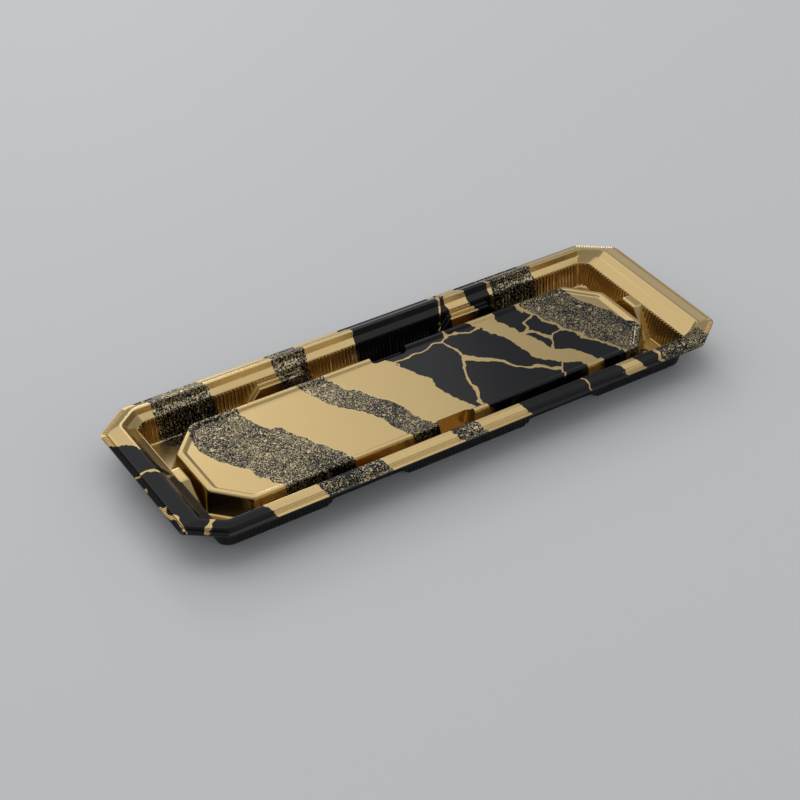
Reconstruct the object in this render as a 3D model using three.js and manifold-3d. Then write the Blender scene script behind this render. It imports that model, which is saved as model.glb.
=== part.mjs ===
// One-row sushi tray, vacuum-formed in one piece from a black plastic sheet that carries a printed film.
// Millimetres, +Z up. The origin is on the table under the middle of the tray, and X runs along it.
// Heights are those of the sheet's upper face, and each face of the sheet and the film is that face raised
// or lowered, so the two layers follow every bead and step of the mould. The flutes stand on the film.

import * as THREE from 'three';
import { mergeVertices } from 'three/addons/utils/BufferGeometryUtils.js';
import Module from 'manifold-3d';

// Layers
const SHEET_THICKNESS = 0.5;
const FILM_THICKNESS = 0.12;
const BOND_THICKNESS = 0.05;

// Trimmed lip, whose outline is a rectangle with its corners cut off
const TRAY_LENGTH = 265;
const TRAY_WIDTH = 92.8;
const CORNER_CUT_ALONG = 15.6;
const CORNER_CUT_ACROSS = 11.5;
const CORNER_ROUNDING = 1.5;
const ROUNDING_SHARE = 1 / 3;
const LIP_HEIGHT = 15.5;
const LIP_WIDTH = 2.2;

// Rim: a short skirt, a top that climbs to a crest, a step down, and a shoulder that falls to the wall
const SKIRT_HEIGHT = 1.2;
const SKIRT_SLOPE = 0.3;
const RIM_RISE = 2.4;
const RIM_TOP = { end: 5.5, side: 2.5, corner: 2.9 };
const CREST = { end: 0.8, side: 1.5, corner: 0.9 };
const STEP = { end: 2.4, side: 0.6, corner: 1.1 };
const STEP_DEPTH = 2.6;
const SHOULDER = { end: 4.3, side: 1.5, corner: 2.1 };

// Fluted wall and the gutter round the platform
const WALL_TOP_DROP = 3;
const WALL_LEDGE = 0.3;
const WALL_DRAFT = 8;
const FLUTE_PITCH = 1.8;
const FLUTE_DEPTH = 0.45;
const FLOOR_FILLET = 1.2;
const GUTTER = { end: 4.2, side: 6.6 };

// Platform with a bead along its edge, which stops at a notch in the middle of each long side
const PLATFORM_DROP = 4.4;
const PLATFORM_CUT = 14.4;
const PLATFORM_DRAFT = 9;
const BEAD_ROUNDING = 0.9;
const BEAD_WIDTH = 2.6;
const BEAD_HEIGHT = 1.2;
const BEAD_SLOPE = 0.6;
const NOTCH_LENGTH = 20;
const NOTCH_DEPTH = 4.2;
const NOTCH_ROUNDING = 1.6;

// Stepped buttresses: two on each long wall and one on each end wall
const BUTTRESS_SPACING = 97;
const SIDE_BUTTRESS_LENGTH = 21;
const END_BUTTRESS_LENGTH = 15;
const UPPER_STEP = { drop: 1.3, depth: 2.3 };
const LOWER_STEP = { drop: 2.3, depth: 4 };
const BUTTRESS_FLANK = 42;
const BUTTRESS_ROUNDING = 1.2;

// Working allowances of the mould solids: how far they run on past the faces that they make
const UNDERCUT = 3;
const OVERRUN = 1;
const ROUNDING_STEPS = 2;
const WELD = 1e-4;

const wasm = await Module();
wasm.setup();

const tangent = (degrees) => Math.tan(THREE.MathUtils.degToRad(degrees));

// An outline is half a length, half a width and the two legs of its corner cuts. This one lies inside it.
function inset(outline, end, side = end, corner = side) {
  const cut = Math.hypot(outline.along, outline.across);
  return {
    x: outline.x - end,
    y: outline.y - side,
    along: outline.along - end + (corner * cut - outline.along * side) / outline.across,
    across: outline.across - side + (corner * cut - outline.across * end) / outline.along,
  };
}

const insetBy = (outline, { end, side, corner }) => inset(outline, end, side, corner);

// Closed path round an outline, anticlockwise from the middle of its +X end, with each corner rounded by
// no more than a share of the corner cut.
function pathOf({ x, y, along, across }) {
  const quarter = [[x, y - across], [x - along, y]];
  const corners = [
    ...quarter,
    ...quarter.map(([u, v]) => [-u, v]).reverse(),
    ...quarter.map(([u, v]) => [-u, -v]),
    ...quarter.map(([u, v]) => [u, -v]).reverse(),
  ].map(([u, v]) => new THREE.Vector2(u, v));
  const rounding = Math.min(CORNER_ROUNDING, Math.hypot(along, across) * ROUNDING_SHARE);
  const path = new THREE.Path();
  path.moveTo(x, 0);
  corners.forEach((corner, i) => {
    const before = corners.at(i - 1);
    const after = corners[(i + 1) % corners.length];
    const start = corner.clone().add(before.clone().sub(corner).setLength(rounding));
    const end = corner.clone().add(after.clone().sub(corner).setLength(rounding));
    path.lineTo(start.x, start.y);
    path.quadraticCurveTo(corner.x, corner.y, end.x, end.y);
  });
  path.lineTo(x, 0);
  return path;
}

const plainRing = (outline) => pathOf(outline).getPoints(ROUNDING_STEPS).slice(0, -1);

// The same number of ridges round every ring of the wall, each a valley point and a crest point.
function flutedRing(outline, flutes, depth) {
  const path = pathOf(outline);
  const count = 2 * flutes;
  return Array.from({ length: count }, (_, i) => {
    const point = path.getPointAt(i / count);
    if (i % 2 === 1) {
      const along = path.getTangentAt(i / count);
      point.add(new THREE.Vector2(-along.y, along.x).multiplyScalar(depth));
    }
    return point;
  });
}

// Closed skin over a stack of rings of equally many points, from the lowest ring to the highest.
function loft(rings) {
  const count = rings[0].points.length;
  const positions = rings.flatMap(({ points, z }) => points.flatMap((point) => [point.x, point.y, z]));
  const index = [];
  for (let low = 0; low + count < rings.length * count; low += count) {
    for (let i = 0; i < count; i += 1) {
      const j = (i + 1) % count;
      index.push(low + i, low + j, low + count + j, low + i, low + count + j, low + count + i);
    }
  }
  const top = (rings.length - 1) * count;
  for (const [a, b, c] of THREE.ShapeUtils.triangulateShape(rings[0].points, [])) {
    index.push(c, b, a);
  }
  for (const [a, b, c] of THREE.ShapeUtils.triangulateShape(rings.at(-1).points, [])) {
    index.push(top + a, top + b, top + c);
  }
  const geometry = new THREE.BufferGeometry();
  geometry.setAttribute('position', new THREE.Float32BufferAttribute(positions, 3));
  geometry.setIndex(index);
  return geometry;
}

function solidOf(geometry) {
  const welded = mergeVertices(geometry, WELD);
  return new wasm.Manifold(new wasm.Mesh({
    numProp: 3,
    vertProperties: new Float32Array(welded.attributes.position.array),
    triVerts: new Uint32Array(welded.index.array),
  }));
}

// Steps every face of a stack of levels outwards by the same amount, with mitred edges.
function swell(levels, amount) {
  const faces = [
    new THREE.Vector2(0, -1),
    ...levels.slice(1).map((upper, i) => {
      const lower = levels[i];
      return new THREE.Vector2(upper.z - lower.z, lower.outline.y - upper.outline.y).normalize();
    }),
    new THREE.Vector2(0, 1),
  ];
  return levels.map((level, i) => {
    const mitre = faces[i].clone().add(faces[i + 1]).divideScalar(1 + faces[i].dot(faces[i + 1]));
    return { ...level, outline: inset(level.outline, -amount * mitre.x), z: level.z + amount * mitre.y };
  });
}

function plainSolid(levels, amount = 0, centre = new THREE.Vector2()) {
  const rings = swell(levels, amount).map(({ outline, z }) => ({
    points: plainRing(outline).map((point) => point.add(centre)),
    z,
  }));
  return solidOf(loft(rings));
}

// Heights
const FLOOR_Z = SHEET_THICKNESS;
const SKIRT_Z = LIP_HEIGHT + SKIRT_HEIGHT;
const CREST_Z = LIP_HEIGHT + RIM_RISE;
const STEP_Z = CREST_Z - STEP_DEPTH;
const WALL_TOP_Z = LIP_HEIGHT - WALL_TOP_DROP;
const BEAD_Z = LIP_HEIGHT - PLATFORM_DROP;
const PANEL_Z = BEAD_Z - BEAD_HEIGHT;

// Outlines, from the trimmed edge inwards
const lip = { x: TRAY_LENGTH / 2, y: TRAY_WIDTH / 2, along: CORNER_CUT_ALONG, across: CORNER_CUT_ACROSS };
const skirtFoot = inset(lip, LIP_WIDTH);
const rimEdge = inset(skirtFoot, SKIRT_SLOPE);
const crestOuter = insetBy(rimEdge, RIM_TOP);
const crestInner = insetBy(crestOuter, CREST);
const stepFoot = insetBy(crestInner, STEP);
const shoulderFoot = insetBy(stepFoot, SHOULDER);
const wallTop = inset(shoulderFoot, WALL_LEDGE);
const wallFoot = inset(wallTop, (WALL_TOP_Z - FLOOR_Z - FLOOR_FILLET) * tangent(WALL_DRAFT));
const floorEdge = inset(wallFoot, FLOOR_FILLET);
const platformFoot = {
  x: wallFoot.x - GUTTER.end,
  y: wallFoot.y - GUTTER.side,
  along: PLATFORM_CUT,
  across: PLATFORM_CUT,
};
const platformEdge = inset(platformFoot, (BEAD_Z - BEAD_ROUNDING - FLOOR_Z) * tangent(PLATFORM_DRAFT));
const beadOuter = inset(platformEdge, BEAD_ROUNDING);
const beadInner = inset(beadOuter, BEAD_WIDTH);
const panelEdge = inset(beadInner, BEAD_SLOPE);
const FLUTES = Math.round(pathOf(wallTop).getLength() / FLUTE_PITCH);

function rimSolid(rise) {
  return plainSolid([
    { outline: skirtFoot, z: -UNDERCUT },
    { outline: skirtFoot, z: LIP_HEIGHT },
    { outline: rimEdge, z: SKIRT_Z },
    { outline: crestOuter, z: CREST_Z },
  ], rise);
}

// The space inside the rim, down to the foot of the shoulder.
function mouthSolid(rise) {
  return plainSolid([
    { outline: shoulderFoot, z: WALL_TOP_Z },
    { outline: stepFoot, z: STEP_Z },
    { outline: crestInner, z: CREST_Z },
    { outline: crestInner, z: CREST_Z + OVERRUN + RIM_RISE },
  ], -rise);
}

// The well below the shoulder. Its flutes run out in the fillet round the floor.
function wellSolid(rise, fluted) {
  const levels = [
    { outline: floorEdge, z: FLOOR_Z, depth: 0 },
    { outline: wallFoot, z: FLOOR_Z + FLOOR_FILLET, depth: FLUTE_DEPTH },
    { outline: wallTop, z: WALL_TOP_Z, depth: FLUTE_DEPTH },
    { outline: wallTop, z: WALL_TOP_Z + OVERRUN, depth: FLUTE_DEPTH },
  ];
  if (!fluted) {
    return plainSolid(levels, -rise);
  }
  return solidOf(loft(swell(levels, -rise).map(({ outline, z, depth }) => ({
    points: flutedRing(outline, FLUTES, depth),
    z,
  }))));
}

function notchSolid(rise, side) {
  const mouth = { x: NOTCH_LENGTH / 2, y: NOTCH_DEPTH, along: NOTCH_ROUNDING, across: NOTCH_ROUNDING };
  const foot = inset(mouth, (BEAD_Z - FLOOR_Z) * tangent(PLATFORM_DRAFT));
  return plainSolid([
    { outline: foot, z: FLOOR_Z - UNDERCUT },
    { outline: foot, z: FLOOR_Z },
    { outline: mouth, z: BEAD_Z },
    { outline: mouth, z: BEAD_Z + OVERRUN + BEAD_HEIGHT },
  ], -rise, new THREE.Vector2(0, side * platformEdge.y));
}

function platformSolid(rise) {
  const block = plainSolid([
    { outline: platformFoot, z: -UNDERCUT },
    { outline: platformFoot, z: FLOOR_Z },
    { outline: platformEdge, z: BEAD_Z - BEAD_ROUNDING },
    { outline: beadOuter, z: BEAD_Z },
  ], rise);
  const panel = plainSolid([
    { outline: panelEdge, z: PANEL_Z },
    { outline: beadInner, z: BEAD_Z },
    { outline: beadInner, z: BEAD_Z + OVERRUN + BEAD_HEIGHT },
  ], -rise);
  return block.subtract(panel).subtract(notchSolid(rise, 1)).subtract(notchSolid(rise, -1));
}

// One step of a buttress, with its middle on the wall: length runs along the wall and depth stands off it.
function buttressStep(rise, length, step, centre, acrossEnd) {
  const top = WALL_TOP_Z - step.drop;
  const size = (fall) => {
    const long = length / 2 + fall * tangent(BUTTRESS_FLANK);
    const deep = step.depth + fall * tangent(WALL_DRAFT);
    return {
      x: acrossEnd ? deep : long,
      y: acrossEnd ? long : deep,
      along: BUTTRESS_ROUNDING,
      across: BUTTRESS_ROUNDING,
    };
  };
  return plainSolid([
    { outline: size(top + UNDERCUT), z: -UNDERCUT },
    { outline: size(0), z: top },
  ], rise, centre);
}

function buttressSolids(rise) {
  const solids = [];
  for (const step of [UPPER_STEP, LOWER_STEP]) {
    for (const way of [-1, 1]) {
      for (const place of [-BUTTRESS_SPACING / 2, BUTTRESS_SPACING / 2]) {
        const onSide = new THREE.Vector2(place, way * shoulderFoot.y);
        solids.push(buttressStep(rise, SIDE_BUTTRESS_LENGTH, step, onSide, false));
      }
      const onEnd = new THREE.Vector2(way * shoulderFoot.x, 0);
      solids.push(buttressStep(rise, END_BUTTRESS_LENGTH, step, onEnd, true));
    }
  }
  return solids;
}

// All that lies under the mould's face raised by rise. A layer's lower face reaches past the trimmed edge.
function underFace({ rise, fluted = false, reach = 0 }) {
  const skirt = inset(lip, -reach);
  let mass = plainSolid([
    { outline: skirt, z: -UNDERCUT - reach },
    { outline: skirt, z: LIP_HEIGHT + rise },
  ]);
  mass = mass.add(rimSolid(rise)).subtract(mouthSolid(rise)).subtract(wellSolid(rise, fluted));
  mass = mass.add(platformSolid(rise));
  for (const buttress of buttressSolids(rise)) {
    mass = mass.add(buttress);
  }
  return mass;
}

function layerGeometry(lowerFace, upperFace) {
  const mesh = underFace(upperFace).subtract(underFace({ ...lowerFace, reach: OVERRUN })).getMesh();
  const geometry = new THREE.BufferGeometry();
  geometry.setAttribute('position', new THREE.Float32BufferAttribute(mesh.vertProperties, 3));
  geometry.setIndex(Array.from(mesh.triVerts));
  return geometry;
}

function layer(name, geometry, finish) {
  const mesh = new THREE.Mesh(geometry, new THREE.MeshStandardMaterial(finish));
  mesh.name = name;
  return mesh;
}

const tray = new THREE.Group();
tray.add(layer(
  'base_sheet',
  layerGeometry({ rise: -SHEET_THICKNESS }, { rise: 0 }),
  { color: 0x101114, roughness: 0.3, metalness: 0 },
));
tray.add(layer(
  'printed_film',
  layerGeometry({ rise: BOND_THICKNESS }, { rise: BOND_THICKNESS + FILM_THICKNESS, fluted: true }),
  { color: 0xb9a063, roughness: 0.3, metalness: 0.7 },
));

export default tray;
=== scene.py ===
"""Looks of the one-row sushi tray: a printed film over a black formed sheet, on a plain studio stage."""

import math
from dataclasses import dataclass
from dataclasses import replace

import bmesh
import bpy
from bpy.props import FloatProperty
from bpy.props import FloatVectorProperty
from bpy.props import PointerProperty
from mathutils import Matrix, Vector


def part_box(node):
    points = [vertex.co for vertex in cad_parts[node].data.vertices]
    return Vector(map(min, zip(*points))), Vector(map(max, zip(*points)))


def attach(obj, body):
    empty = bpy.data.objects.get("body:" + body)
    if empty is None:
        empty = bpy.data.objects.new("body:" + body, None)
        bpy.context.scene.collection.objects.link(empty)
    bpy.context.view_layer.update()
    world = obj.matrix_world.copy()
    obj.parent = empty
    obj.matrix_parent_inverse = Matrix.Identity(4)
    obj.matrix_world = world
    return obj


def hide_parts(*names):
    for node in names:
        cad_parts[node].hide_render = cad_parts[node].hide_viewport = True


bl_info = {
    "name": "Sushi tray",
    "version": (1, 0, 0),
    "blender": (4, 5, 0),
    "location": "View3D > Sidebar > Sushi tray",
    "description": "Forms the printed film and black sheet of a one-row sushi tray and sets its stage",
    "category": "Object",
}

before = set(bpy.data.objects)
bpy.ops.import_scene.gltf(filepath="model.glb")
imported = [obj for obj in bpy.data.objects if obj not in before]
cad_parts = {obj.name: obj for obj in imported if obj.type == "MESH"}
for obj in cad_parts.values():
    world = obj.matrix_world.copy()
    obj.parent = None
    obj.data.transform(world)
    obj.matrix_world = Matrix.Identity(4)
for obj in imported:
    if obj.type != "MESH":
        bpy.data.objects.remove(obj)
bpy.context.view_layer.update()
FILM_LOW, FILM_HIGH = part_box("printed_film")

MM = 0.001
TINY = 1e-6

# Profile of the formed face. Runs are given at the ends, along the sides and along the corner cuts.
CUT_ALONG = 15.6 * MM
CUT_ACROSS = 11.5 * MM
CORNER_ROUNDING = 1.5 * MM
ROUNDING_SHARE = 1 / 3
SKIRT_SLOPE = 0.3 * MM
SKIRT_HEIGHT = 1.2 * MM
RIM_RISE = 2.4 * MM
CREST_RUNS = (0.8 * MM, 1.5 * MM, 0.9 * MM)
STEP_RUNS = (2.4 * MM, 0.6 * MM, 1.1 * MM)
STEP_DEPTH = 2.6 * MM
WALL_TOP_DROP = 3 * MM
WALL_LEDGE = 0.3 * MM
WALL_DRAFT = math.radians(8)
PLATFORM_CUT = 14.4 * MM
PLATFORM_DRAFT = math.radians(9)
BEAD_SLOPES = (1.2 * MM, 0.8 * MM, 1 * MM)
PANEL_MARGIN = 3 * MM

# Fillets between the faces, as lengths along each face
SKIRT_FILLET = 0.3 * MM
RIM_FILLET = 0.5 * MM
CREST_FILLET = 0.3 * MM
STEP_FILLET = 0.4 * MM
LEDGE_FILLET = 0.12 * MM
FLOOR_FILLET = 1.4 * MM
PLATFORM_FILLET = 0.8 * MM
BEAD_OUTER_FILLET = 1.5 * MM
BEAD_INNER_FILLET = 0.6 * MM
PANEL_FILLET = 0.45 * MM

# Buttresses and notches
BUTTRESS_FLANK = math.radians(42)
UPPER_BUTTRESS_DROP = 1.3 * MM
UPPER_BUTTRESS_DEPTH = 2.3 * MM
LOWER_BUTTRESS_DROP = 2.3 * MM
LOWER_BUTTRESS_DEPTH = 4 * MM
SIDE_BUTTRESS_ROUNDING = 0.5 * MM
END_BUTTRESS_DROP = 0.15 * MM
END_BUTTRESS_DEPTH = 4.3 * MM
END_BUTTRESS_ROUNDING = 1 * MM
NOTCH_DEPTH = 4.2 * MM
NOTCH_ROUNDING = 2.2 * MM
NOTCH_CLEARANCE = 0.05 * MM

# Flutes of the wall and serrations of the lip, and the straight runs of a quarter ring that carry them
END_RUN = 0
CUT_RUN = 1
SIDE_RUN = 2
FLUTE_RADIUS = 0.55 * MM
FLUTE_SINK = 0.1 * MM
FLUTE_HEAD_DROP = 0.25 * MM
FLUTE_SIDES = 10
SERRATION_RADIUS = 0.5 * MM
SERRATION_SINK = 0.08 * MM
SERRATION_SIDES = 8
RIB_HEAD_SHARE = 0.6
RIB_HEAD_STEPS = 2

# Print: where each band starts along the strips' direction, and its kind from 0 for ink to 1 for gold
BAND_SPAN = 320 * MM
BAND_MIDDLE = 0.5
INK = 0.0
FLECKED = 0.5
GOLD = 1.0
BANDS = (
    (-160 * MM, INK),
    (-108 * MM, GOLD),
    (-86 * MM, FLECKED),
    (-58 * MM, GOLD),
    (-30 * MM, FLECKED),
    (-16 * MM, GOLD),
    (4 * MM, INK),
    (52 * MM, GOLD),
    (60 * MM, INK),
    (72 * MM, FLECKED),
    (96 * MM, GOLD),
)
STRIP_DIRECTION = (0.92, 0.39, 0)
STRAIGHT_DOWN = (1, 1, 0)
BORDER_WIDTH = 2.6 * MM
BORDER_SCALE = 420
BORDER_CHANGE = 0.1
VEIN_SCALE = 24
VEIN_WIDTH = 0.55 * MM
VEIN_WANDER = (0.02, 0.02, 0)
VEIN_WANDER_SCALE = 60

# Tears of the strips' edges: scale, reach and detail of each noise
TEARS = ((26, 22 * MM, 2.0), (150, 5 * MM, 4.0), (900, 0.9 * MM, 3.0))

# Flecks: scale of each size of chip, and the share of the ground that it covers
FLECKS = ((4200, 0.2), (2100, 0.09), (850, 0.02))
FLECK_RAGGED = 0.5
FLECK_RAGGED_FINENESS = 2
FLECK_STRETCH = (1, 1, 0.5)
FLECK_DRIFT = 4
FLECK_DRIFT_SCALE = 45
FLECK_METAL = 0.8

# Finish of the film, the sheet and the floor
GOLD_ROUGHNESS = 0.25
GOLD_LACQUER = 0.12
GOLD_SHADE = 0.94
GOLD_SHADE_SCALE = 45
INK_ROUGHNESS = 0.15
INK_LACQUER = 0.05
LACQUER_ROUGHNESS = 0.12
FILM_SPECULAR = 0.25
FILM_SMEAR = 0.05
FILM_GRAIN = 0.08
SHEET_ROUGHNESS = 0.28
SHEET_SPECULAR = 0.4
SHEET_SMEAR = 0.1
SHEET_GRAIN = 0.12
SHEET_CLOUD = 1.6
SHEET_CLOUD_SCALE = 60
FLOOR_ROUGHNESS = 0.6
FLOOR_CLOUD = 0.98
FLOOR_CLOUD_SCALE = 3
GRAIN_SCALE = 2600
GRAIN_DEPTH = 0.05 * MM
SMEAR_SCALE = 160
PLAIN_DETAIL = 2
ROUGH_DETAIL = 3
NOISE_MIDDLE = 0.5

# Layout of the nodes, and the sockets of the Mix node that carry colours
NODE_WIDTH = 200
NODE_HEIGHT = 220
MIX_FIRST = 6
MIX_SECOND = 7
MIX_RESULT = 2

# Stage, with the place and the size of each lamp
FLOOR_SIZE = 6
SENSOR_WIDTH = 36
CLIP_START = 0.01
LAMPS = {
    "key": ((0.05, 0.75, 1.6), (1.9, 2.5)),
    "fill": ((0.67, -1.3, 0.4), (0.9, 0.6)),
    "back": ((-1.1, 1.2, 0.85), (1.3, 1.1)),
    "edge": ((0.45, 1.5, 0.8), (0.3, 0.3)),
    "side": ((1.3, 1.0, 0.45), (1.1, 0.5)),
    "overhead": ((1.1, -0.25, 1.75), (0.8, 0.9)),
}

# Working allowances of the mould
CORNER_STEPS = 4
FILLET_STEPS = 4
FILLET_LIMIT = 0.45
UNDERCUT = 3 * MM
OVERRUN = 1 * MM
FLAT_ANGLE = math.radians(0.2)
SMOOTH_ANGLE = math.radians(40)


class TraySizes(bpy.types.PropertyGroup):
    """Sizes of the formed sheet and its film."""

    length: FloatProperty(
        name="Length", description="Length over the trimmed lip",
        default=FILM_HIGH.x - FILM_LOW.x, unit="LENGTH")
    width: FloatProperty(
        name="Width", description="Width over the trimmed lip",
        default=FILM_HIGH.y - FILM_LOW.y, unit="LENGTH")
    lip_height: FloatProperty(
        name="Lip height", description="Height of the lip over the table",
        default=15.5 * MM, unit="LENGTH")
    lip_width: FloatProperty(
        name="Lip width", description="Width of the flat lip outside the skirt",
        default=2.2 * MM, unit="LENGTH")
    rim_end: FloatProperty(
        name="Rim at the ends", description="Width of the rim's top at the two ends",
        default=5.5 * MM, unit="LENGTH")
    rim_side: FloatProperty(
        name="Rim at the sides", description="Width of the rim's top along the two sides",
        default=2.5 * MM, unit="LENGTH")
    rim_corner: FloatProperty(
        name="Rim at the corners", description="Width of the rim's top along the corner cuts",
        default=2.9 * MM, unit="LENGTH")
    shoulder_end: FloatProperty(
        name="Shoulder at the ends", description="Run of the shoulder at the two ends",
        default=4.3 * MM, unit="LENGTH")
    shoulder_side: FloatProperty(
        name="Shoulder at the sides", description="Run of the shoulder along the two sides",
        default=1.5 * MM, unit="LENGTH")
    shoulder_corner: FloatProperty(
        name="Shoulder at the corners", description="Run of the shoulder along the corner cuts",
        default=2.1 * MM, unit="LENGTH")
    flute_pitch: FloatProperty(
        name="Flute pitch", description="Distance from one flute of the wall to the next",
        default=1.8 * MM, unit="LENGTH")
    serration_pitch: FloatProperty(
        name="Serration pitch", description="Distance from one serration of the lip to the next",
        default=1.15 * MM, unit="LENGTH")
    gutter_end: FloatProperty(
        name="Gutter at the ends", description="Width of the gutter's floor at the two ends",
        default=4.2 * MM, unit="LENGTH")
    gutter_side: FloatProperty(
        name="Gutter at the sides", description="Width of the gutter's floor along the two sides",
        default=6.6 * MM, unit="LENGTH")
    platform_drop: FloatProperty(
        name="Platform drop", description="Depth of the platform's bead below the lip",
        default=4.4 * MM, unit="LENGTH")
    bead_end: FloatProperty(
        name="Bead at the ends", description="Width of the top of the bead at the panel's two ends",
        default=2.6 * MM, unit="LENGTH")
    bead_side: FloatProperty(
        name="Bead at the sides", description="Width of the top of the bead along the panel's two sides",
        default=2 * MM, unit="LENGTH")
    bead_corner: FloatProperty(
        name="Bead at the corners", description="Width of the top of the bead along the panel's cuts",
        default=2.3 * MM, unit="LENGTH")
    bead_height: FloatProperty(
        name="Bead height", description="Height of the bead over the panel",
        default=1.2 * MM, unit="LENGTH")
    notch_length: FloatProperty(
        name="Notch length", description="Length of the finger notch in each long side of the platform",
        default=18.5 * MM, unit="LENGTH")
    buttress_spacing: FloatProperty(
        name="Buttress spacing", description="Distance between the two buttresses of a long wall",
        default=97 * MM, unit="LENGTH")
    side_buttress: FloatProperty(
        name="Side buttress", description="Length of the top of a buttress on a long wall",
        default=21 * MM, unit="LENGTH")
    end_buttress: FloatProperty(
        name="End buttress", description="Length of the top of a buttress on an end wall",
        default=8.5 * MM, unit="LENGTH")
    sheet: FloatProperty(
        name="Sheet", description="Thickness of the black sheet",
        default=0.5 * MM, unit="LENGTH")
    bond: FloatProperty(
        name="Bond", description="Thickness of the bond between sheet and film",
        default=0.05 * MM, unit="LENGTH")
    film: FloatProperty(
        name="Film", description="Thickness of the printed film",
        default=0.12 * MM, unit="LENGTH")


class TrayColours(bpy.types.PropertyGroup):
    """Colours of the print and of the sheet."""

    gold: FloatVectorProperty(
        name="Gold", description="Metallised gold of the film",
        default=(0.64, 0.465, 0.21), subtype="COLOR", size=3, min=0, max=1)
    ink: FloatVectorProperty(
        name="Ink", description="Black ink of the film",
        default=(0.004, 0.004, 0.005), subtype="COLOR", size=3, min=0, max=1)
    fleck: FloatVectorProperty(
        name="Fleck", description="Pale gold of the flecks",
        default=(0.62, 0.5, 0.28), subtype="COLOR", size=3, min=0, max=1)
    sheet: FloatVectorProperty(
        name="Sheet", description="Black of the formed sheet",
        default=(0.01, 0.01, 0.011), subtype="COLOR", size=3, min=0, max=1)


class StageSettings(bpy.types.PropertyGroup):
    """Camera, floor and light of the stage."""

    camera_place: FloatVectorProperty(
        name="Camera place", description="Where the camera stands",
        default=(-0.34892, -0.50914, 0.47934), subtype="TRANSLATION", unit="LENGTH", size=3)
    camera_turn: FloatVectorProperty(
        name="Camera turn", description="How the camera is turned",
        default=(math.radians(52.297), math.radians(-0.821), math.radians(-32.989)),
        subtype="EULER", size=3)
    lens: FloatProperty(
        name="Lens", description="Focal length in millimetres on a 36 mm wide sensor", default=82.02)
    floor: FloatVectorProperty(
        name="Floor", description="Pale grey of the floor",
        default=(0.78, 0.78, 0.78), subtype="COLOR", size=3, min=0, max=1)
    sky: FloatVectorProperty(
        name="Room light", description="Colour of the light from all round",
        default=(0.93, 0.96, 1.0), subtype="COLOR", size=3, min=0, max=1)
    sky_strength: FloatProperty(
        name="Room strength", description="Strength of the light from all round", default=0.4)
    key_power: FloatProperty(
        name="Key power", description="Power of the large soft light over the tray", default=8.2)
    fill_power: FloatProperty(
        name="Fill power", description="Power of the low soft light beside the camera", default=1.05)
    back_power: FloatProperty(
        name="Back power", description="Power of the broad light behind the tray's left end", default=2.6)
    edge_power: FloatProperty(
        name="Edge power", description="Power of the small light that draws the edges", default=1.8)
    side_power: FloatProperty(
        name="Side power", description="Power of the low light behind the tray's right end", default=0.4)
    overhead_power: FloatProperty(
        name="Overhead power", description="Power of the light over the near rim", default=1)


@dataclass(frozen=True)
class Station:
    """One ring of the face: half a length, half a width, the legs of its corner cuts and its height."""

    x: float
    y: float
    along: float
    across: float
    z: float
    fillet: float = 0.0

    def inset(self, end, side=None, corner=None, up=0.0, fillet=0.0):
        """The ring that lies inside this one by the given distances."""
        side = end if side is None else side
        corner = side if corner is None else corner
        cut = math.hypot(self.along, self.across)
        return Station(
            x=self.x - end,
            y=self.y - side,
            along=self.along - end + (corner * cut - self.along * side) / self.across,
            across=self.across - side + (corner * cut - self.across * end) / self.along,
            z=self.z + up,
            fillet=fillet,
        )

    def towards(self, other, share):
        """The ring that lies a share of the way to another."""
        return Station(
            x=self.x + (other.x - self.x) * share,
            y=self.y + (other.y - self.y) * share,
            along=self.along + (other.along - self.along) * share,
            across=self.across + (other.across - self.across) * share,
            z=self.z + (other.z - self.z) * share,
        )

    def gap(self, other):
        """Distance to another ring across the long side."""
        return math.hypot(other.y - self.y, other.z - self.z)

    def rounding(self):
        """How far the rounding of a corner reaches along its edges."""
        return min(CORNER_ROUNDING, math.hypot(self.along, self.across) * ROUNDING_SHARE)

    def corners(self):
        """The two corners of a quarter of the ring, at the end and at the side."""
        end = Vector((self.x, self.y - self.across, self.z))
        side = Vector((self.x - self.along, self.y, self.z))
        return end, side


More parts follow.
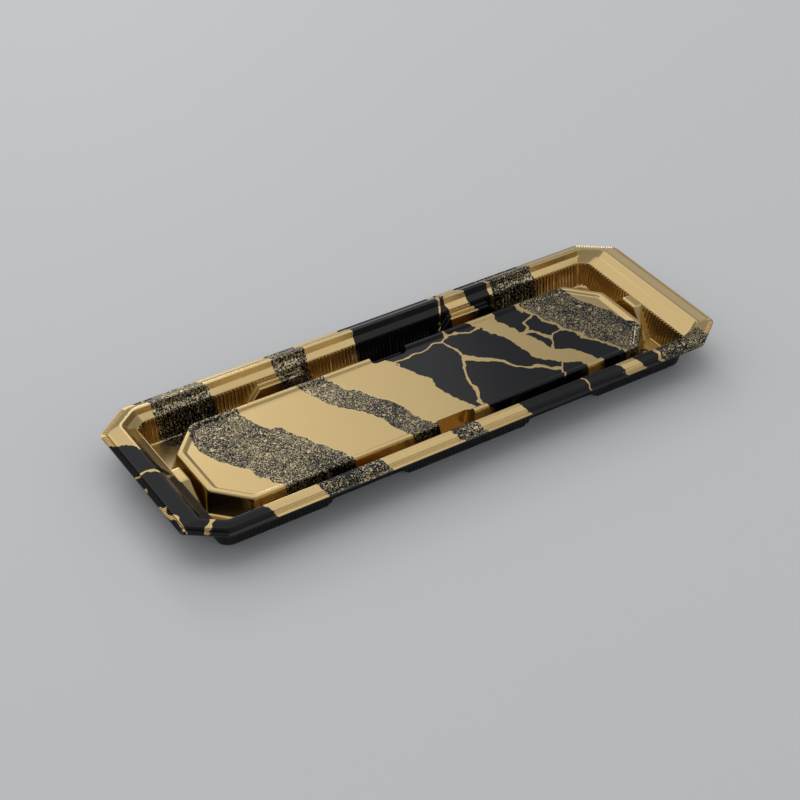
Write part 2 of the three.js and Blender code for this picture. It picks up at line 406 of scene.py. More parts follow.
class Face:
    """The upper face of the mould with sharp edges, from the trimmed lip in to the panel."""

    def __init__(self, sizes):
        self.floor_z = sizes.sheet
        wall_top_z = sizes.lip_height - WALL_TOP_DROP
        wall_height = wall_top_z - self.floor_z
        bead_z = sizes.lip_height - sizes.platform_drop
        platform_height = bead_z - self.floor_z
        self.lip = Station(sizes.length / 2, sizes.width / 2, CUT_ALONG, CUT_ACROSS, sizes.lip_height)
        self.skirt_foot = self.lip.inset(sizes.lip_width, fillet=SKIRT_FILLET)
        self.rim_edge = self.skirt_foot.inset(SKIRT_SLOPE, up=SKIRT_HEIGHT, fillet=RIM_FILLET)
        self.crest_outer = self.rim_edge.inset(
            sizes.rim_end, sizes.rim_side, sizes.rim_corner,
            up=RIM_RISE - SKIRT_HEIGHT, fillet=CREST_FILLET)
        self.crest_inner = self.crest_outer.inset(*CREST_RUNS, fillet=CREST_FILLET)
        self.step_foot = self.crest_inner.inset(*STEP_RUNS, up=-STEP_DEPTH, fillet=STEP_FILLET)
        self.shoulder_foot = self.step_foot.inset(
            sizes.shoulder_end, sizes.shoulder_side, sizes.shoulder_corner,
            up=wall_top_z - self.step_foot.z, fillet=LEDGE_FILLET)
        self.wall_top = self.shoulder_foot.inset(WALL_LEDGE, fillet=LEDGE_FILLET)
        self.wall_foot = self.wall_top.inset(
            wall_height * math.tan(WALL_DRAFT), up=-wall_height, fillet=FLOOR_FILLET)
        self.platform_foot = Station(
            x=self.wall_foot.x - sizes.gutter_end,
            y=self.wall_foot.y - sizes.gutter_side,
            along=PLATFORM_CUT,
            across=PLATFORM_CUT,
            z=self.floor_z,
            fillet=PLATFORM_FILLET,
        )
        self.bead_outer = self.platform_foot.inset(
            platform_height * math.tan(PLATFORM_DRAFT), up=platform_height, fillet=BEAD_OUTER_FILLET)
        self.bead_inner = self.bead_outer.inset(
            sizes.bead_end, sizes.bead_side, sizes.bead_corner, fillet=BEAD_INNER_FILLET)
        self.panel_edge = self.bead_inner.inset(*BEAD_SLOPES, up=-sizes.bead_height, fillet=PANEL_FILLET)
        self.panel = self.panel_edge.inset(PANEL_MARGIN)

    def stations(self):
        """All rings in order from the lip inwards."""
        return [
            self.lip, self.skirt_foot, self.rim_edge, self.crest_outer, self.crest_inner, self.step_foot,
            self.shoulder_foot, self.wall_top, self.wall_foot, self.platform_foot, self.bead_outer,
            self.bead_inner, self.panel_edge, self.panel,
        ]


def raised(stations, rise):
    """The rings of a face that lies off this one by rise, square to each slope, with mitred edges."""
    flat = Vector((0, 1))
    slopes = [flat]
    for outer, inner in zip(stations, stations[1:]):
        slopes.append(Vector((inner.z - outer.z, outer.y - inner.y)).normalized())
    slopes.append(flat)
    result = []
    for station, before, after in zip(stations, slopes, slopes[1:]):
        mitre = (before + after) / (1 + before.dot(after))
        moved = station.inset(-rise * mitre.x, up=rise * mitre.y, fillet=station.fillet)
        result.append(moved)
    return result


def rounded(stations):
    """Puts a curve of rings, the fillet, in the place of each ring between the first and the last."""
    result = [stations[0]]
    for before, station, after in zip(stations, stations[1:], stations[2:]):
        start = station.towards(before, min(station.fillet / station.gap(before), FILLET_LIMIT))
        end = station.towards(after, min(station.fillet / station.gap(after), FILLET_LIMIT))
        for step in range(FILLET_STEPS + 1):
            share = step / FILLET_STEPS
            result.append(start.towards(station, share).towards(station.towards(end, share), share))
    result.append(stations[-1])
    return result


def deselect_objects():
    """Leaves nothing selected, so that an operator acts only on what comes next."""
    if bpy.context.object and bpy.context.object.mode != "OBJECT":
        bpy.ops.object.mode_set(mode="OBJECT")
    bpy.ops.object.select_all(action="DESELECT")


def select(test):
    """Selects the vertices of the open mesh that pass a test, with what lies between them."""
    data = bpy.context.edit_object.data
    mesh = bmesh.from_edit_mesh(data)
    for part in (mesh.faces, mesh.edges, mesh.verts):
        for element in part:
            element.select = False
    for vertex in mesh.verts:
        vertex.select = test(vertex)
    mesh.select_flush(True)
    bmesh.update_edit_mesh(data, loop_triangles=False, destructive=False)


def select_near(*spots):
    """Selects the vertices of the open mesh at some places."""
    select(lambda vertex: any((vertex.co - spot).length < TINY for spot in spots))


def selected_chain():
    """Numbers of the selected vertices, in order from the end of the tray round to its side."""
    mesh = bmesh.from_edit_mesh(bpy.context.edit_object.data)
    chain = [vertex for vertex in mesh.verts if vertex.select]
    chain.sort(key=lambda vertex: math.atan2(vertex.co.y, vertex.co.x))
    return [vertex.index for vertex in chain]


def select_numbers(numbers):
    """Selects vertices of the open mesh by their numbers."""
    wanted = set(numbers)
    select(lambda vertex: vertex.index in wanted)


def apply_modifier(piece, modifier):
    """Applies a modifier to the piece."""
    bpy.context.view_layer.objects.active = piece
    bpy.ops.object.modifier_apply(modifier=modifier.name)


def mirror(piece, along_x, along_y):
    """Mirrors a piece in the middle planes of the tray."""
    modifier = piece.modifiers.new("Mirror", "MIRROR")
    modifier.use_axis = (along_x, along_y, False)
    modifier.merge_threshold = TINY
    apply_modifier(piece, modifier)


def combine(piece, tool, operation):
    """Joins a solid to the piece or cuts it away, and drops the tool."""
    modifier = piece.modifiers.new("Combine", "BOOLEAN")
    modifier.operation = operation
    modifier.solver = "MANIFOLD"
    modifier.object = tool
    apply_modifier(piece, modifier)
    bpy.data.objects.remove(tool)


def first_quarter(station):
    """Starts a mesh with a quarter of a ring: a plane whose outer corner is cut, and the cut rounded."""
    deselect_objects()
    bpy.ops.mesh.primitive_plane_add(size=1)
    bpy.ops.object.mode_set(mode="EDIT")
    origin = Vector()
    squeeze = station.across / station.along
    bpy.ops.transform.translate(value=(0.5, 0.5, 0))
    bpy.ops.transform.resize(value=(station.x * squeeze, station.y, 1), center_override=origin)
    select_near(Vector((station.x * squeeze, station.y, 0)))
    bpy.ops.mesh.bevel(affect="VERTICES", offset_type="ABSOLUTE", offset=station.across, segments=1)
    bpy.ops.mesh.select_all(action="SELECT")
    bpy.ops.transform.resize(value=(1 / squeeze, 1, 1), center_override=origin)
    bpy.ops.transform.translate(value=(0, 0, station.z))
    select_near(*station.corners())
    bpy.ops.mesh.bevel(
        affect="VERTICES", offset_type="ABSOLUTE", offset=station.rounding(), segments=CORNER_STEPS)
    select_near(Vector((0, 0, station.z)))
    bpy.ops.mesh.delete(type="VERT")
    bpy.ops.mesh.select_all(action="SELECT")
    return selected_chain()


def next_quarter(chain, here, there):
    """Extrudes the quarter ring at one station and moves its two rounded corners to the next station."""
    select_numbers(chain)
    bpy.ops.mesh.extrude_edges_move(TRANSFORM_OT_translate={"value": (0, 0, there.z - here.z)})
    chain = selected_chain()
    half = len(chain) // 2
    scale = there.rounding() / here.rounding()
    for arc, corner, spot in zip((chain[1:half], chain[half:-1]), here.corners(), there.corners()):
        select_numbers(arc)
        corner.z = there.z
        bpy.ops.transform.resize(value=(scale, scale, 1), center_override=corner)
        bpy.ops.transform.translate(value=spot - corner)
    select_numbers(chain[:1])
    bpy.ops.transform.translate(value=(there.x - here.x, 0, 0))
    select_numbers(chain[-1:])
    bpy.ops.transform.translate(value=(0, there.y - here.y, 0))
    return chain


def close_openings():
    """Closes the open mesh with a face over each open edge loop, the lowest first."""
    mesh = bmesh.from_edit_mesh(bpy.context.edit_object.data)
    low = min(vertex.co.z for vertex in mesh.verts)
    select(lambda vertex: vertex.co.z < low + TINY)
    bpy.ops.mesh.edge_face_add()
    bpy.ops.mesh.select_mode(type="EDGE")
    bpy.ops.mesh.select_non_manifold(extend=False, use_multi_face=False, use_non_contiguous=False)
    bpy.ops.mesh.edge_face_add()
    bpy.ops.mesh.select_mode(type="VERT")
    bpy.ops.mesh.select_all(action="SELECT")
    bpy.ops.mesh.normals_make_consistent(inside=False)


def face_block(face, rise, reach):
    """The solid under the plain face raised by rise, which runs past the trimmed edge by reach."""
    stations = rounded(raised(face.stations(), rise))
    stations[0] = stations[0].inset(-reach)
    foot = replace(stations[0], z=-UNDERCUT - reach)
    chain = first_quarter(foot)
    for here, there in zip([foot] + stations, stations):
        chain = next_quarter(chain, here, there)
    bpy.ops.object.mode_set(mode="OBJECT")
    block = bpy.context.object
    mirror(block, True, True)
    bpy.ops.object.mode_set(mode="EDIT")
    close_openings()
    bpy.ops.object.mode_set(mode="OBJECT")
    return block


def tapered_block(top, bottom, rounding):
    """A block with rounded edges. Its top and bottom are each half a length, half a width and a height."""
    deselect_objects()
    bpy.ops.mesh.primitive_cube_add(size=2)
    bpy.ops.object.mode_set(mode="EDIT")
    for side, (length, width, height) in ((1, top), (-1, bottom)):
        select(lambda vertex: vertex.co.z * side > 0)
        bpy.ops.transform.resize(value=(length, width, 1), center_override=Vector())
        bpy.ops.transform.translate(value=(0, 0, height - side))
    bpy.ops.mesh.select_all(action="SELECT")
    bpy.ops.mesh.bevel(offset=rounding, segments=FILLET_STEPS, affect="EDGES")
    bpy.ops.mesh.select_all(action="SELECT")
    return bpy.context.edit_object


def buttress_step(face, rise, length, drop, depth, rounding, on_end):
    """One step of a buttress, raised by rise, with its middle on the wall and its foot below the floor."""
    top = face.wall_top.z - drop
    spot = Vector((face.shoulder_foot.x, 0, 0)) if on_end else Vector((0, face.shoulder_foot.y, 0))

    def size(height):
        fall = top - height
        long = length / 2 + fall * math.tan(BUTTRESS_FLANK) + rise / math.cos(BUTTRESS_FLANK)
        deep = depth + fall * math.tan(WALL_DRAFT) + rise / math.cos(WALL_DRAFT)
        return (deep, long, height) if on_end else (long, deep, height)

    block = tapered_block(size(top + rise), size(-UNDERCUT / 2), rounding)
    bpy.ops.transform.translate(value=spot)
    return block


def add_buttresses(piece, face, sizes, rise):
    """Joins the buttresses to the piece: two steps each on the long walls, one step each on the ends."""
    upper = (UPPER_BUTTRESS_DROP, UPPER_BUTTRESS_DEPTH)
    lower = (LOWER_BUTTRESS_DROP, LOWER_BUTTRESS_DEPTH)
    for drop, depth in (upper, lower):
        on_side = buttress_step(
            face, rise, sizes.side_buttress, drop, depth, SIDE_BUTTRESS_ROUNDING, False)
        bpy.ops.transform.translate(value=(sizes.buttress_spacing / 2, 0, 0))
        bpy.ops.object.mode_set(mode="OBJECT")
        mirror(on_side, True, True)
        combine(piece, on_side, "UNION")
    on_end = buttress_step(
        face, rise, sizes.end_buttress,
        END_BUTTRESS_DROP, END_BUTTRESS_DEPTH, END_BUTTRESS_ROUNDING, True)
    bpy.ops.object.mode_set(mode="OBJECT")
    mirror(on_end, True, False)
    combine(piece, on_end, "UNION")


def cut_notches(piece, face, sizes, rise):
    """Cuts the finger notches out of both long sides of the platform."""
    draft = math.tan(PLATFORM_DRAFT)
    edge = face.bead_outer.y
    low = face.floor_z + rise + NOTCH_CLEARANCE
    high = face.bead_outer.z + NOTCH_ROUNDING + OVERRUN

    def size(height):
        fall = face.bead_outer.z - height
        narrowing = fall * draft + rise / math.cos(PLATFORM_DRAFT)
        return sizes.notch_length / 2 - narrowing, NOTCH_DEPTH - narrowing + fall * draft, height

    notch = tapered_block(size(high), size(low), NOTCH_ROUNDING)
    bpy.ops.transform.translate(value=(0, edge, 0))
    bpy.ops.object.mode_set(mode="OBJECT")
    mirror(notch, False, True)
    combine(piece, notch, "DIFFERENCE")


def rib(radius, sides, foot, head):
    """A round rib from one point to another, with a rounded head."""
    deselect_objects()
    axis = head - foot
    bpy.ops.mesh.primitive_cylinder_add(vertices=sides, radius=radius, depth=axis.length)
    bpy.ops.object.mode_set(mode="EDIT")
    select(lambda vertex: vertex.co.z > 0)
    bpy.ops.mesh.bevel(offset=radius * RIB_HEAD_SHARE, segments=RIB_HEAD_STEPS, affect="EDGES")
    bpy.ops.object.mode_set(mode="OBJECT")
    piece = bpy.context.object
    piece.rotation_euler = axis.to_track_quat("Z", "Y").to_euler()
    piece.location = (foot + head) / 2
    bpy.ops.object.transform_apply(location=True, rotation=True, scale=True)
    return piece


def repeat(piece, step, count):
    """Repeats a rib in a row."""
    modifier = piece.modifiers.new("Row", "ARRAY")
    modifier.count = count
    modifier.use_relative_offset = False
    modifier.use_constant_offset = True
    modifier.constant_offset_displace = step
    apply_modifier(piece, modifier)


def ring_runs(station):
    """The straight runs of a quarter ring: start, end and the level direction that faces the middle."""
    end, side = station.corners()
    start = Vector((station.x, 0, station.z))
    stop = Vector((0, station.y, station.z))
    runs = []
    for first, last in ((start, end), (end, side), (side, stop)):
        along = (last - first).normalized()
        runs.append((first, last, Vector((-along.y, along.x, 0))))
    return runs


def rib_rows(upper, lower, radius, sides, pitch, sink, runs):
    """Rows of ribs from a lower ring up to an upper one, along some straight runs of a quarter ring."""
    rows = []
    for number in runs:
        high_start, high_end, inward = ring_runs(upper)[number]
        low_start, low_end, _ = ring_runs(lower)[number]
        span = high_end - high_start
        along = span.normalized()
        count = max(int(span.length / pitch), 1)
        margin = pitch / 2
        if number == CUT_RUN:
            margin = (span.length - (count - 1) * pitch) / 2
        if number == SIDE_RUN:
            margin = span.length - (count - 1) * pitch - pitch / 2
        head = high_start + along * margin
        drift = (low_start - high_start).dot(inward)
        foot = head + inward * drift + Vector((0, 0, lower.z - upper.z))
        row = rib(radius, sides, foot - inward * sink, head - inward * sink)
        repeat(row, along * pitch, count)
        rows.append(row)
    deselect_objects()
    for row in rows:
        row.select_set(True)
    bpy.context.view_layer.objects.active = rows[0]
    bpy.ops.object.join()
    mirror(rows[0], True, True)
    return rows[0]


def add_flutes(piece, face, sizes, rise):
    """Joins the flutes of the wall to the piece."""
    head = face.wall_top.inset(rise, up=-FLUTE_HEAD_DROP)
    foot = face.wall_foot.inset(rise, up=-OVERRUN / 2)
    runs = (END_RUN, CUT_RUN, SIDE_RUN)
    flutes = rib_rows(head, foot, FLUTE_RADIUS, FLUTE_SIDES, sizes.flute_pitch, FLUTE_SINK, runs)
    combine(piece, flutes, "UNION")


def add_serrations(piece, face, sizes, rise):
    """Joins the serrations of the lip's ends and corners to the piece."""
    head = face.skirt_foot.inset(SKIRT_SLOPE, up=rise - SERRATION_SINK)
    foot = face.lip.inset(SERRATION_RADIUS / 2, up=rise - SERRATION_SINK)
    runs = (END_RUN, CUT_RUN)
    serrations = rib_rows(head, foot, SERRATION_RADIUS, SERRATION_SIDES, sizes.serration_pitch, 0, runs)
    combine(piece, serrations, "UNION")


def under_face(sizes, rise, reach):
    """All that lies under the face of the mould raised by rise."""
    face = Face(sizes)
    piece = face_block(face, rise, reach)
    cut_notches(piece, face, sizes, rise)
    add_flutes(piece, face, sizes, rise)
    add_buttresses(piece, face, sizes, rise)
    add_serrations(piece, face, sizes, rise)
    return piece


def formed_layer(name, sizes, lower, upper):
    """One layer of the tray, between two raised copies of the mould's face."""
    piece = under_face(sizes, upper, 0)
    combine(piece, under_face(sizes, lower, OVERRUN), "DIFFERENCE")
    piece.name = name
    piece.data.name = name
    deselect_objects()
    piece.select_set(True)
    bpy.context.view_layer.objects.active = piece
    bpy.ops.object.mode_set(mode="EDIT")
    bpy.ops.mesh.select_all(action="SELECT")
    bpy.ops.mesh.dissolve_limited(angle_limit=FLAT_ANGLE)
    bpy.ops.object.mode_set(mode="OBJECT")
    bpy.ops.object.shade_smooth_by_angle(angle=SMOOTH_ANGLE)
    modifier = piece.modifiers.new("Flat faces", "WEIGHTED_NORMAL")
    modifier.keep_sharp = True
    apply_modifier(piece, modifier)
    return piece


def wear(piece, material):
    """Gives a piece its only material."""
    piece.data.materials.clear()
    piece.data.materials.append(material)


def node(tree, kind, place, **settings):
    """Adds a node with its settings."""
    made = tree.nodes.new(kind)
    made.location = place
    for key, value in settings.items():
        setattr(made, key, value)
    return made


def feed(tree, source, target):
    """Links a socket to the target, or gives the target a plain value."""
    if isinstance(source, bpy.types.NodeSocket):
        tree.links.new(source, target)
    else:
        target.default_value = source


def math_node(tree, operation, place, *values):
    """Adds a Math node whose inputs are sockets or numbers."""
    made = node(tree, "ShaderNodeMath", place, operation=operation)
    for value, socket in zip(values, made.inputs):
        feed(tree, value, socket)
    return made.outputs[0]


def noise(tree, place, vector, scale, detail=PLAIN_DETAIL):
    """Adds a noise texture."""
    made = node(tree, "ShaderNodeTexNoise", place)
    made.inputs["Scale"].default_value = scale
    made.inputs["Detail"].default_value = detail
    tree.links.new(vector, made.inputs["Vector"])
    return made


def make_group(name, inputs, outputs):
    """Starts a shader node group with named sockets."""
    tree = bpy.data.node_groups.new(name, "ShaderNodeTree")
    for kind, label in inputs:
        tree.interface.new_socket(label, in_out="INPUT", socket_type=kind)
    for kind, label in outputs:
        tree.interface.new_socket(label, in_out="OUTPUT", socket_type=kind)
    return tree


def pressed_group():
    """Fine unevenness that pressing leaves in plastic: a height for bump and a change of roughness."""
    made = bpy.data.node_groups.get("Pressed plastic")
    if made:
        return made
    tree = make_group(
        "Pressed plastic",
        [("NodeSocketVector", "Vector"), ("NodeSocketFloat", "Roughness"), ("NodeSocketFloat", "Smear")],
        [("NodeSocketFloat", "Height"), ("NodeSocketFloat", "Roughness")])
    source = node(tree, "NodeGroupInput", (-800, 0))
    result = node(tree, "NodeGroupOutput", (400, 0))
    fine = noise(tree, (-560, 160), source.outputs["Vector"], GRAIN_SCALE)
    broad = noise(tree, (-560, -160), source.outputs["Vector"], SMEAR_SCALE, ROUGH_DETAIL)
    tree.links.new(fine.outputs[0], result.inputs["Height"])
    centred = math_node(tree, "SUBTRACT", (-320, -160), broad.outputs[0], NOISE_MIDDLE)
    smear = math_node(tree, "MULTIPLY", (-140, -160), centred, source.outputs["Smear"])
    rough = math_node(tree, "ADD", (40, -160), smear, source.outputs["Roughness"])
    tree.links.new(rough, result.inputs["Roughness"])
    return tree


def print_bands(tree, place, coordinate):
    """Adds the colour ramp that gives each band of the print its kind: ink, flecked or gold."""
    ramp = node(tree, "ShaderNodeValToRGB", place)
    ramp.color_ramp.interpolation = "CONSTANT"
    stops = ramp.color_ramp.elements
    for number, (start, kind) in enumerate(BANDS):
        stop = stops[number] if number < len(stops) else stops.new(1)
        stop.position = start / BAND_SPAN + BAND_MIDDLE
        stop.color = (kind, kind, kind, 1)
    tree.links.new(coordinate, ramp.inputs["Fac"])
    return ramp.outputs["Color"]


def scaled_vector(tree, place, vector, factors):
    """Scales a vector part by part."""
    made = node(tree, "ShaderNodeVectorMath", place, operation="MULTIPLY")
    made.inputs[1].default_value = factors
    tree.links.new(vector, made.inputs[0])
    return made.outputs[0]


def shaken_vector(tree, place, vector, scale, reach):
    """Moves a vector about by a noise, so that a pattern laid on it wanders."""
    x, y = place
    shift = noise(tree, (x - NODE_WIDTH, y), vector, scale, ROUGH_DETAIL)
    made = node(tree, "ShaderNodeVectorMath", place, operation="MULTIPLY_ADD")
    made.inputs[1].default_value = reach
    tree.links.new(shift.outputs["Color"], made.inputs[0])
    tree.links.new(vector, made.inputs[2])
    return made.outputs[0]


def torn_share(tree, level):
    """How far a place lies across the strips, from 0 to 1 over their span, with torn edges."""
    across = node(tree, "ShaderNodeVectorMath", (-1400, 260), operation="DOT_PRODUCT")
    across.inputs[1].default_value = STRIP_DIRECTION
    tree.links.new(level, across.inputs[0])
    torn = across.outputs["Value"]
    for number, (scale, reach, detail) in enumerate(TEARS):
        y = -number * NODE_HEIGHT
        wave = noise(tree, (-1400, y), level, scale, detail)
        centred = math_node(tree, "SUBTRACT", (-1200, y), wave.outputs[0], NOISE_MIDDLE)
        shift = math_node(tree, "MULTIPLY", (-1020, y), centred, reach)
        torn = math_node(tree, "ADD", (-840, y), torn, shift)
    return math_node(tree, "MULTIPLY_ADD", (-660, 260), torn, 1 / BAND_SPAN, BAND_MIDDLE)


def strip_borders(tree, level, share, kind):
    """A thin ragged line where one strip meets the next."""
    ragged = noise(tree, (-1020, 480), level, BORDER_SCALE, ROUGH_DETAIL)
    edge = math_node(tree, "MULTIPLY", (-840, 480), ragged.outputs[0], BORDER_WIDTH)
    edge_share = math_node(tree, "MULTIPLY_ADD", (-660, 480), edge, 1 / BAND_SPAN, share)
    beside = print_bands(tree, (-460, 480), edge_share)
    change = math_node(tree, "SUBTRACT", (-200, 480), kind, beside)
    change = math_node(tree, "ABSOLUTE", (-40, 480), change)
    return math_node(tree, "GREATER_THAN", (120, 480), change, BORDER_CHANGE)


def veins(tree, level):
    """Thin wandering lines that meet in threes."""
    wandering = shaken_vector(tree, (-840, -760), level, VEIN_WANDER_SCALE, VEIN_WANDER)
    cells = node(tree, "ShaderNodeTexVoronoi", (-660, -760), feature="DISTANCE_TO_EDGE")
    cells.inputs["Scale"].default_value = VEIN_SCALE
    tree.links.new(wandering, cells.inputs["Vector"])
    return math_node(tree, "LESS_THAN", (-460, -760), cells.outputs["Distance"], VEIN_WIDTH * VEIN_SCALE)


def flecks(tree, vector):
    """Chips of three sizes, strewn more thickly in some places than in others."""
    spread = scaled_vector(tree, (-1400, -1100), vector, FLECK_STRETCH)
    drift = noise(tree, (-840, -1400), spread, FLECK_DRIFT_SCALE, ROUGH_DETAIL)
    found = 0.0
    for number, (scale, share) in enumerate(FLECKS):
        y = -1000 - number * NODE_HEIGHT
        reach = [FLECK_RAGGED / scale] * 3
        ragged = shaken_vector(tree, (-1000, y), spread, FLECK_RAGGED_FINENESS * scale, reach)
        cells = node(tree, "ShaderNodeTexVoronoi", (-820, y))
        cells.inputs["Scale"].default_value = scale
        tree.links.new(ragged, cells.inputs["Vector"])
        chance = node(tree, "ShaderNodeSeparateColor", (-640, y))
        tree.links.new(cells.outputs["Color"], chance.inputs[0])
        gain = FLECK_DRIFT * share
        limit = math_node(
            tree, "MULTIPLY_ADD", (-640, y - 130), drift.outputs[0], gain, share - gain * NOISE_MIDDLE)
        chip = math_node(tree, "LESS_THAN", (-460, y), chance.outputs[0], limit)
        found = math_node(tree, "MAXIMUM", (-280, y), chip, found)
    return found


def print_group():
    """Torn strips of gold, ink and flecked ink across the tray, printed straight down on every slope."""
    tree = make_group(
        "Torn strips",
        [("NodeSocketVector", "Vector")],
        [("NodeSocketFloat", "Gold"), ("NodeSocketFloat", "Fleck")])
    source = node(tree, "NodeGroupInput", (-1800, 0)).outputs["Vector"]
    result = node(tree, "NodeGroupOutput", (900, 0))
    level = scaled_vector(tree, (-1600, 0), source, STRAIGHT_DOWN)
    share = torn_share(tree, level)
    kind = print_bands(tree, (-460, 260), share)
    border = strip_borders(tree, level, share, kind)
    gold_band = math_node(tree, "GREATER_THAN", (-200, 260), kind, (FLECKED + GOLD) / 2)
    ink_band = math_node(tree, "LESS_THAN", (-200, 100), kind, (INK + FLECKED) / 2)
    other = math_node(tree, "MAXIMUM", (-40, 180), gold_band, ink_band)
    fleck_band = math_node(tree, "SUBTRACT", (120, 180), 1.0, other)
    vein = math_node(tree, "MULTIPLY", (-280, -760), veins(tree, level), ink_band)
    fleck = math_node(tree, "MULTIPLY", (280, -400), flecks(tree, source), fleck_band)
    gold = math_node(tree, "MAXIMUM", (280, 200), gold_band, border)
    gold = math_node(tree, "MAXIMUM", (460, 100), gold, vein)
    tree.links.new(gold, result.inputs["Gold"])
    tree.links.new(fleck, result.inputs["Fleck"])
    return tree


def new_material(name):
    """Starts a material with its own tree, shader and Object coordinates."""
    material = bpy.data.materials.new(name)
    material.use_nodes = True
    tree = material.node_tree
    shader = tree.nodes["Principled BSDF"]
    place = node(tree, "ShaderNodeTexCoord", (-1200, 0)).outputs["Object"]
    return material, tree, shader, place


def mix_colour(tree, place, factor, first, second):
    """Adds a colour mix whose inputs are sockets or colours."""
    made = node(tree, "ShaderNodeMix", place, data_type="RGBA")
    tree.links.new(factor, made.inputs["Factor"])
    feed(tree, first, made.inputs[MIX_FIRST])
    feed(tree, second, made.inputs[MIX_SECOND])
    return made.outputs[MIX_RESULT]


def solid_colour(colour, strength=1):
    """A colour for a socket, lighter or darker by a strength."""
    return (*(part * strength for part in colour), 1)


def pressed_finish(tree, shader, place, roughness, smear, grain):
    """Adds the unevenness of pressed plastic to a shader's roughness and normal."""
    pressed = node(tree, "ShaderNodeGroup", (-600, -320), node_tree=pressed_group())
    tree.links.new(place, pressed.inputs["Vector"])
    feed(tree, roughness, pressed.inputs["Roughness"])
    feed(tree, smear, pressed.inputs["Smear"])
    bump = node(tree, "ShaderNodeBump", (-300, -420))
    bump.inputs["Strength"].default_value = grain
    bump.inputs["Distance"].default_value = GRAIN_DEPTH
    tree.links.new(pressed.outputs["Height"], bump.inputs["Height"])
    tree.links.new(pressed.outputs["Roughness"], shader.inputs["Roughness"])
    tree.links.new(bump.outputs["Normal"], shader.inputs["Normal"])


def film_material(colours):
    """The printed film: satin gold, glossy ink and ink thick with gold flecks, under one clear lacquer."""
    material, tree, shader, place = new_material("Printed film")
    design = node(tree, "ShaderNodeGroup", (-1000, 200), node_tree=print_group())
    tree.links.new(place, design.inputs["Vector"])
    gold = design.outputs["Gold"]
    fleck = design.outputs["Fleck"]
    shade = noise(tree, (-1000, 460), place, GOLD_SHADE_SCALE)
    dark_gold = solid_colour(colours.gold, GOLD_SHADE)
    tone = mix_colour(tree, (-760, 460), shade.outputs[0], dark_gold, solid_colour(colours.gold))
    colour = mix_colour(tree, (-520, 300), gold, solid_colour(colours.ink), tone)
    colour = mix_colour(tree, (-300, 300), fleck, colour, solid_colour(colours.fleck))
    tree.links.new(colour, shader.inputs["Base Color"])
    glint = math_node(tree, "MULTIPLY", (-900, -60), fleck, FLECK_METAL)
    shiny = math_node(tree, "MAXIMUM", (-760, 40), gold, glint)
    tree.links.new(shiny, shader.inputs["Metallic"])
    roughness = math_node(
        tree, "MULTIPLY_ADD", (-760, -200), shiny, GOLD_ROUGHNESS - INK_ROUGHNESS, INK_ROUGHNESS)
    pressed_finish(tree, shader, place, roughness, FILM_SMEAR, FILM_GRAIN)
    shader.inputs["Specular IOR Level"].default_value = FILM_SPECULAR
    lacquer = math_node(
        tree, "MULTIPLY_ADD", (-760, -360), gold, GOLD_LACQUER - INK_LACQUER, INK_LACQUER)
    tree.links.new(lacquer, shader.inputs["Coat Weight"])
    shader.inputs["Coat Roughness"].default_value = LACQUER_ROUGHNESS
    return material


def sheet_material(colours):
    """The black sheet: glossy plastic with the faint unevenness of forming."""
    material, tree, shader, place = new_material("Black sheet")
    cloud = noise(tree, (-800, 260), place, SHEET_CLOUD_SCALE, ROUGH_DETAIL)
    pale_sheet = solid_colour(colours.sheet, SHEET_CLOUD)
    colour = mix_colour(tree, (-520, 260), cloud.outputs[0], solid_colour(colours.sheet), pale_sheet)
    tree.links.new(colour, shader.inputs["Base Color"])
    pressed_finish(tree, shader, place, SHEET_ROUGHNESS, SHEET_SMEAR, SHEET_GRAIN)
    shader.inputs["Specular IOR Level"].default_value = SHEET_SPECULAR
    return material


def floor_material(floor):
    """The floor: one pale grey, faintly clouded."""
    material, tree, shader, place = new_material("Pale floor")
    cloud = noise(tree, (-800, 200), place, FLOOR_CLOUD_SCALE)
    dark_floor = solid_colour(floor, FLOOR_CLOUD)
    colour = mix_colour(tree, (-520, 200), cloud.outputs[0], dark_floor, solid_colour(floor))
    tree.links.new(colour, shader.inputs["Base Color"])
    shader.inputs["Roughness"].default_value = FLOOR_ROUGHNESS
    return material


class SUSHI_TRAY_OT_base_sheet(bpy.types.Operator):
    """Forms the black sheet of the tray"""

    bl_idname = "sushi_tray.base_sheet"
    bl_label = "Base sheet"
    bl_options = {"REGISTER", "UNDO"}

    def execute(self, context):
        sizes = context.scene.sushi_tray_sizes
        piece = formed_layer("black_sheet", sizes, -sizes.sheet, 0)
        wear(piece, sheet_material(context.scene.sushi_tray_colours))
        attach(piece, "root")
        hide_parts("base_sheet")
        return {"FINISHED"}


class SUSHI_TRAY_OT_printed_film(bpy.types.Operator):
    """Forms the printed film on top of the sheet"""

    bl_idname = "sushi_tray.printed_film"
    bl_label = "Printed film"
    bl_options = {"REGISTER", "UNDO"}

    def execute(self, context):
        sizes = context.scene.sushi_tray_sizes
        piece = formed_layer("gold_film", sizes, sizes.bond, sizes.bond + sizes.film)
        wear(piece, film_material(context.scene.sushi_tray_colours))
        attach(piece, "root")
        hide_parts("printed_film")
        return {"FINISHED"}


def soft_light(name, place, size, power):
    """Sets a rectangular lamp that faces the tray."""
    light = bpy.data.lights.new(name, "AREA")
    light.shape = "RECTANGLE"
    light.size, light.size_y = size
    light.energy = power
    lamp = bpy.data.objects.new(name, light)
    lamp.location = place
    lamp.rotation_euler = (-Vector(place)).to_track_quat("-Z", "Y").to_euler()
    bpy.context.scene.collection.objects.link(lamp)


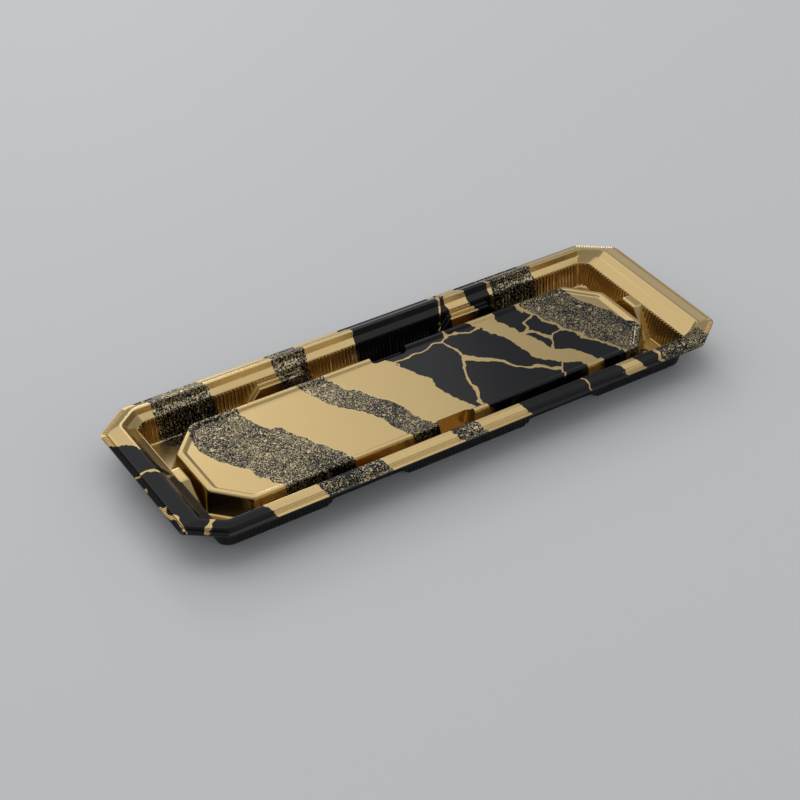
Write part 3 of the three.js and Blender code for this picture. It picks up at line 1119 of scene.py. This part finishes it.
class SUSHI_TRAY_OT_stage(bpy.types.Operator):
    """Sets the floor, the soft light and the camera"""

    bl_idname = "sushi_tray.stage"
    bl_label = "Stage"
    bl_options = {"REGISTER", "UNDO"}

    def execute(self, context):
        settings = context.scene.sushi_tray_stage
        deselect_objects()
        bpy.ops.mesh.primitive_plane_add(size=FLOOR_SIZE)
        floor = context.object
        floor.name = "floor"
        wear(floor, floor_material(settings.floor))
        world = bpy.data.worlds.new("Room")
        world.use_nodes = True
        background = world.node_tree.nodes["Background"]
        background.inputs["Color"].default_value = (*settings.sky, 1)
        background.inputs["Strength"].default_value = settings.sky_strength
        context.scene.world = world
        for name, (place, size) in LAMPS.items():
            soft_light(name, place, size, getattr(settings, name + "_power"))
        lens = bpy.data.cameras.new("camera")
        lens.sensor_width = SENSOR_WIDTH
        lens.lens = settings.lens
        lens.clip_start = CLIP_START
        camera = bpy.data.objects.new("camera", lens)
        camera.location = settings.camera_place
        camera.rotation_euler = settings.camera_turn
        context.scene.collection.objects.link(camera)
        context.scene.camera = camera
        context.scene.view_settings.view_transform = "Standard"
        return {"FINISHED"}


class SUSHI_TRAY_PT_panel(bpy.types.Panel):
    """Lists the tray's pieces, sizes and colours"""

    bl_idname = "SUSHI_TRAY_PT_panel"
    bl_label = "Sushi tray"
    bl_space_type = "VIEW_3D"
    bl_region_type = "UI"
    bl_category = "Sushi tray"

    def draw(self, context):
        layout = self.layout
        for operator in OPERATORS:
            layout.operator(operator.bl_idname)
        for group in GROUPS.values():
            layout.separator()
            settings = getattr(context.scene, group)
            for name in type(settings).__annotations__:
                layout.prop(settings, name)


OPERATORS = (SUSHI_TRAY_OT_base_sheet, SUSHI_TRAY_OT_printed_film, SUSHI_TRAY_OT_stage)
GROUPS = {
    TraySizes: "sushi_tray_sizes",
    TrayColours: "sushi_tray_colours",
    StageSettings: "sushi_tray_stage",
}


def register():
    """Registers the classes and hangs their settings on the scene."""
    for kind in (*GROUPS, *OPERATORS, SUSHI_TRAY_PT_panel):
        bpy.utils.register_class(kind)
    for kind, name in GROUPS.items():
        setattr(bpy.types.Scene, name, PointerProperty(type=kind))


def unregister():
    """Takes the settings and the classes away again."""
    for name in GROUPS.values():
        delattr(bpy.types.Scene, name)
    for kind in reversed((*GROUPS, *OPERATORS, SUSHI_TRAY_PT_panel)):
        bpy.utils.unregister_class(kind)


def main():
    """Registers the add-on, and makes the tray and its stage."""
    register()
    bpy.ops.sushi_tray.base_sheet()
    bpy.ops.sushi_tray.printed_film()
    bpy.ops.sushi_tray.stage()


if __name__ == "__main__":
    main()
